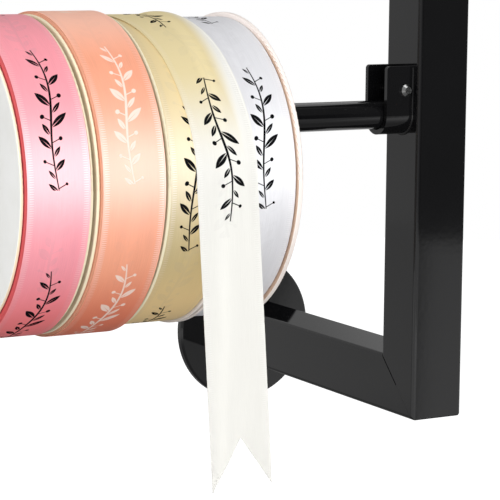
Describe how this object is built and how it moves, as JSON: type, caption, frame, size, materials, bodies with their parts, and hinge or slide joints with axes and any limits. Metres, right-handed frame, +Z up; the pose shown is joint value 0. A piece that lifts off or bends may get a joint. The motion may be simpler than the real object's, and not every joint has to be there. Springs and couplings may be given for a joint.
{
  "type": "wall ribbon rack",
  "caption": "Wall rack of black square tube with round rods in open cradles, carrying spools of satin ribbon that turn to feed the ribbon out.",
  "frame": {"origin": "on the wall, at the centre of the right lower wall plate's back face", "axes": "+Y into the wall, +Z up, +X to the right seen from the front"},
  "size_m": [0.546, 0.2223, 0.546],
  "materials": {
    "black_paint": "glossy powder coat",
    "bright_steel": "bright zinc",
    "black_plastic": "moulded",
    "ivory_plastic": "moulded",
    "pale_plastic": "moulded",
    "pink_satin": "satin weave",
    "peach_satin": "satin weave",
    "cream_satin": "satin weave",
    "white_satin": "satin weave",
    "tail_satin": "satin weave"
  },
  "bodies": {
    "frame": {"right_upright": "black_paint", "right_lower_arm": "black_paint", "right_upper_arm": "black_paint", "left_upright": "black_paint", "left_lower_arm": "black_paint", "left_upper_arm": "black_paint", "right_lower_plate": "black_paint", "right_upper_plate": "black_paint", "left_lower_plate": "black_paint", "left_upper_plate": "black_paint", "right_low_cradle": "black_paint", "right_mid_cradle": "black_paint", "right_top_cradle": "black_paint", "left_low_cradle": "black_paint", "left_mid_cradle": "black_paint", "left_top_cradle": "black_paint", "keeper_screws": "bright_steel", "keeper_nuts": "bright_steel"},
    "low_rod_unit": {"low_rod": "black_paint", "low_rod_plugs": "black_plastic"},
    "mid_rod_unit": {"mid_rod": "black_paint", "mid_rod_plugs": "black_plastic"},
    "top_rod_unit": {"top_rod": "black_paint", "top_rod_plugs": "black_plastic"},
    "white_spool": {"white_core": "pale_plastic", "white_left_flange": "pale_plastic", "white_right_flange": "pale_plastic", "white_winding": "white_satin"},
    "cream_spool": {"cream_core": "pale_plastic", "cream_left_flange": "pale_plastic", "cream_right_flange": "pale_plastic", "cream_winding": "cream_satin"},
    "peach_spool": {"peach_core": "ivory_plastic", "peach_left_flange": "ivory_plastic", "peach_right_flange": "ivory_plastic", "peach_winding": "peach_satin"},
    "pink_spool": {"pink_core": "ivory_plastic", "pink_left_flange": "ivory_plastic", "pink_right_flange": "ivory_plastic", "pink_winding": "pink_satin"},
    "hanging_ribbon": {"ribbon_tail": "tail_satin"}
  },
  "joints": [
    {"name": "low_rod_spin", "type": "hinge", "parent": "frame", "child": "low_rod_unit", "pos_m": [-0.2375, -0.1595, 0.1175], "axis": [1, 0, 0], "continuous": true},
    {"name": "mid_rod_spin", "type": "hinge", "parent": "frame", "child": "mid_rod_unit", "pos_m": [-0.2375, -0.1595, 0.2625], "axis": [1, 0, 0], "continuous": true},
    {"name": "top_rod_spin", "type": "hinge", "parent": "frame", "child": "top_rod_unit", "pos_m": [-0.2375, -0.1595, 0.4075], "axis": [1, 0, 0], "continuous": true},
    {"name": "white_spool_spin", "type": "hinge", "parent": "frame", "child": "white_spool", "pos_m": [-0.1118, -0.1595, 0.0995], "axis": [1, 0, 0], "continuous": true},
    {"name": "cream_spool_spin", "type": "hinge", "parent": "frame", "child": "cream_spool", "pos_m": [-0.14075, -0.1595, 0.0995], "axis": [1, 0, 0], "range_deg": [0, 90]},
    {"name": "peach_spool_spin", "type": "hinge", "parent": "frame", "child": "peach_spool", "pos_m": [-0.1697, -0.1595, 0.0995], "axis": [1, 0, 0], "continuous": true},
    {"name": "pink_spool_spin", "type": "hinge", "parent": "frame", "child": "pink_spool", "pos_m": [-0.19865, -0.1595, 0.0995], "axis": [1, 0, 0], "continuous": true},
    {"name": "tail_feed", "type": "slide", "parent": "frame", "child": "hanging_ribbon", "axis": [0, 0, -1], "range_m": [0, 0.0955]}
  ],
  "couplings": [
    {"joint": "tail_feed", "follows": "cream_spool_spin", "m_per_rad": 0.0608}
  ]
}
